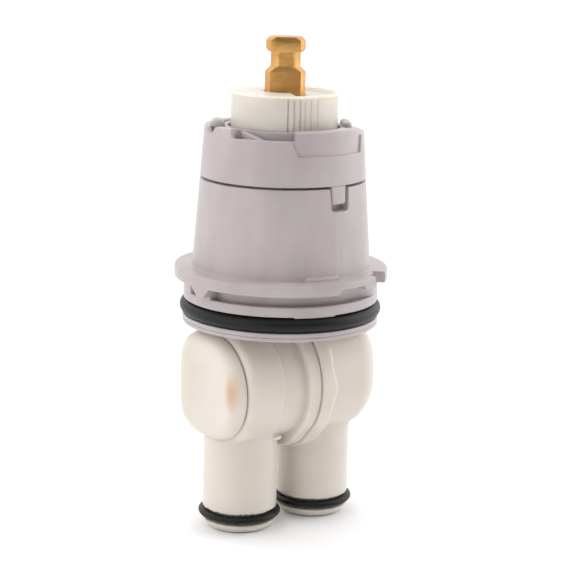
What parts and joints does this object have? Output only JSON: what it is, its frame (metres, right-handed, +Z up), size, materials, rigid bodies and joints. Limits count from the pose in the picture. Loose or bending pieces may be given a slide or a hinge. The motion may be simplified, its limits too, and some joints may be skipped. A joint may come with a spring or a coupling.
{
  "type": "shower valve cartridge",
  "caption": "Pressure-balance shower valve cartridge: turning stem with limit stop above a conical housing, ceramic discs, and a balancing unit on sealed inlet tubes.",
  "frame": {"origin": "on the ground plane between the two inlet tube ends, below the stem axis", "axes": "+Z up along the stem axis, +X through the inlet tubes towards the domed half"},
  "size_m": [0.0508, 0.0508, 0.1168],
  "materials": {
    "grey_moulding": "satin moulded light grey",
    "ivory_moulding": "satin moulded ivory acetal",
    "white_nylon": "translucent natural nylon",
    "black_rubber": "greased nitrile rubber",
    "turned_brass": "turned and milled brass",
    "ground_ceramic": "lapped alumina",
    "stainless": "ground stainless steel"
  },
  "bodies": {
    "housing": {"lower_housing": "grey_moulding", "upper_cap": "grey_moulding", "base_plate": "grey_moulding", "body_oring": "black_rubber", "riser_orings": "black_rubber", "spool_body_left": "ivory_moulding", "spool_body_right": "ivory_moulding", "left_end_cap": "ivory_moulding", "joint_seal": "black_rubber", "spool_sleeve": "stainless", "sleeve_orings": "black_rubber", "left_tube_oring": "black_rubber", "right_tube_oring": "black_rubber", "fixed_disc": "ground_ceramic", "left_port_seal": "black_rubber", "right_port_seal": "black_rubber", "outlet_seal": "black_rubber", "thrust_washer": "white_nylon"},
    "stem_assembly": {"stem": "turned_brass", "stem_orings": "black_rubber", "spline_hub": "ivory_moulding", "disc_carrier": "ivory_moulding", "moving_disc": "ground_ceramic"},
    "limit_ring": {"limit_stop": "white_nylon"},
    "piston": {"balance_spool": "stainless"}
  },
  "joints": [
    {"name": "stem_turn", "type": "hinge", "parent": "housing", "child": "stem_assembly", "pos_m": [0, 0, 0.1], "axis": [0, 0, 1], "range_deg": [0, 270]},
    {"name": "limit_stop_lift", "type": "slide", "parent": "stem_assembly", "child": "limit_ring", "axis": [0, 0, 1], "range_m": [0, 0.008]},
    {"name": "balance_spool_slide", "type": "slide", "parent": "housing", "child": "piston", "axis": [1, 0, 0], "range_m": [-0.0025, 0.0025]}
  ]
}
